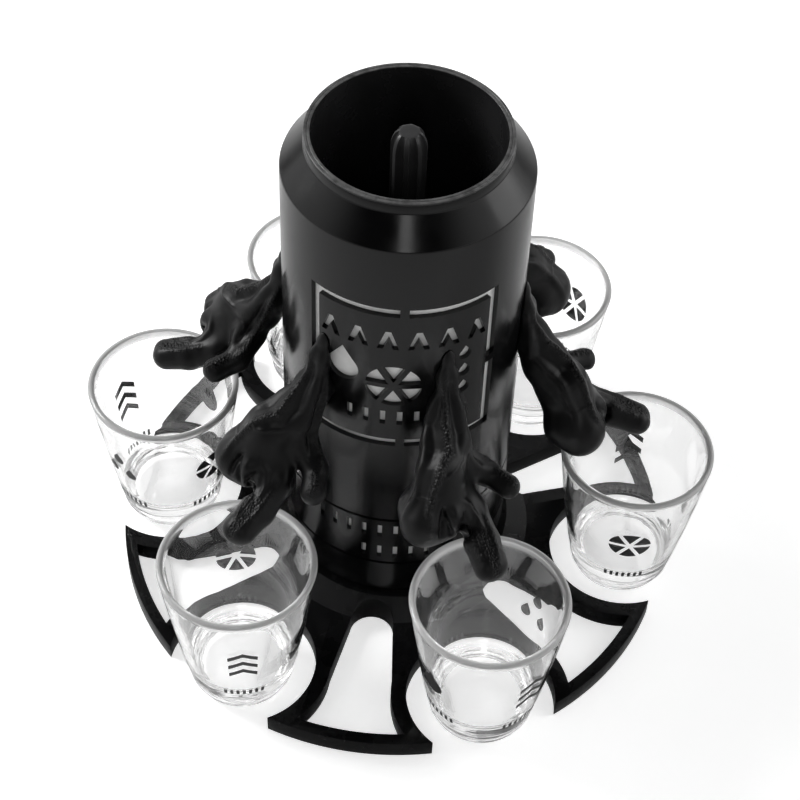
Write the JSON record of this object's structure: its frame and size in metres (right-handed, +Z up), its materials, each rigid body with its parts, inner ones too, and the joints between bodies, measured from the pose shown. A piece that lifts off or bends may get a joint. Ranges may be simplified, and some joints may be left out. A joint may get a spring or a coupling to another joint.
{
  "type": "party shot dispenser",
  "caption": "Can-shaped drink reservoir on a star base, with pointing hands that fill shot glasses standing between the arms when the fluted stem is lifted.",
  "frame": {"origin": "on the middle axis, at the base's underside, which is table height", "axes": "+Z up along the tower's axis; -Y towards the front, where the label is; +X to the right, through the right-hand hand and glass"},
  "size_m": [0.1844, 0.1656, 0.1612],
  "materials": {
    "black_print": "black 3D-printed plastic with fine layer lines, satin",
    "white_print": "white 3D-printed plastic",
    "inner_print": "black printed plastic, satin",
    "seal": "black rubber",
    "glass": "clear"
  },
  "bodies": {
    "base": {"base_star": "black_print"},
    "tower": {"tower_foot": "black_print", "can_shell": "black_print", "inner_sleeve": "white_print", "reservoir_cup": "inner_print", "distributor": "inner_print", "cup_seal": "seal", "hand_1": "black_print", "hand_2": "black_print", "hand_3": "black_print", "hand_4": "black_print", "hand_5": "black_print", "hand_6": "black_print", "hand_seal_1": "seal", "hand_seal_2": "seal", "hand_seal_3": "seal", "hand_seal_4": "seal", "hand_seal_5": "seal", "hand_seal_6": "seal"},
    "stem": {"valve_stem": "inner_print", "stem_seal": "seal"},
    "glass_1": {"glass_1": "glass"},
    "glass_2": {"glass_2": "glass"},
    "glass_3": {"glass_3": "glass"},
    "glass_4": {"glass_4": "glass"},
    "glass_5": {"glass_5": "glass"},
    "glass_6": {"glass_6": "glass"}
  },
  "joints": [
    {"name": "tower_lift", "type": "slide", "parent": "base", "child": "tower", "axis": [0, 0, 1], "range_m": [0, 0.02]},
    {"name": "stem_lift", "type": "slide", "parent": "tower", "child": "stem", "axis": [0, 0, 1], "range_m": [0, 0.01]},
    {"name": "glass_1_out", "type": "slide", "parent": "base", "child": "glass_1", "axis": [0.5, -0.866, 0], "range_m": [0, 0.04]},
    {"name": "glass_2_out", "type": "slide", "parent": "base", "child": "glass_2", "axis": [1, 0, 0], "range_m": [0, 0.04]},
    {"name": "glass_3_out", "type": "slide", "parent": "base", "child": "glass_3", "axis": [0.5, 0.866, 0], "range_m": [0, 0.04]},
    {"name": "glass_4_out", "type": "slide", "parent": "base", "child": "glass_4", "axis": [-0.5, 0.866, 0], "range_m": [0, 0.04]},
    {"name": "glass_5_out", "type": "slide", "parent": "base", "child": "glass_5", "axis": [-1, 0, 0], "range_m": [0, 0.04]},
    {"name": "glass_6_out", "type": "slide", "parent": "base", "child": "glass_6", "axis": [-0.5, -0.866, 0], "range_m": [0, 0.04]}
  ]
}
